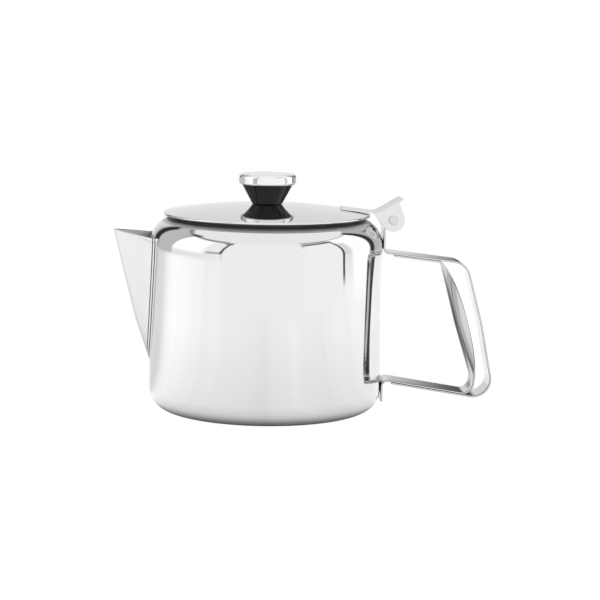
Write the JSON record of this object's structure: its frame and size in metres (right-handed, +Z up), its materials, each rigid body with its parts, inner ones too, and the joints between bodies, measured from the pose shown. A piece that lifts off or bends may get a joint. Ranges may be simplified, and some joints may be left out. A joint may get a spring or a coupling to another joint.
{
  "type": "teapot",
  "caption": "Stainless steel teapot with a drum body, an open beak spout, a hinged domed lid with a black knob and a two-strip handle.",
  "frame": {"origin": "centre of the flat base, on the surface that the pot stands on", "axes": "+X from the body's axis to the handle, -X to the spout, +Y across, +Z up along the body's axis"},
  "size_m": [0.1637, 0.1, 0.1019],
  "materials": {
    "body_steel": "mirror polish",
    "spout_steel": "mirror polish",
    "handle_steel": "mirror polish on the faces, rolled edges",
    "lid_steel": "mirror polish",
    "hinge_steel": "soft polish",
    "pin_steel": "soft polish",
    "cap_steel": "bright polish",
    "black_phenolic": "gloss",
    "brass": "machined",
    "fastener_steel": "plain"
  },
  "bodies": {
    "pot": {"body_shell": "body_steel", "spout": "spout_steel", "handle_outer_strip": "handle_steel", "handle_inner_strip": "handle_steel", "hinge_pin": "pin_steel"},
    "lid": {"hinge_leaf": "hinge_steel", "lid_shell": "lid_steel", "lid_locating_ring": "lid_steel", "knob_body": "black_phenolic", "knob_cap": "cap_steel", "knob_insert": "brass", "knob_screw": "fastener_steel", "knob_washer": "fastener_steel"}
  },
  "joints": [
    {"name": "lid_hinge", "type": "hinge", "parent": "pot", "child": "lid", "pos_m": [0.054, 0, 0.0829], "axis": [0, 1, 0], "range_deg": [0, 105]}
  ]
}
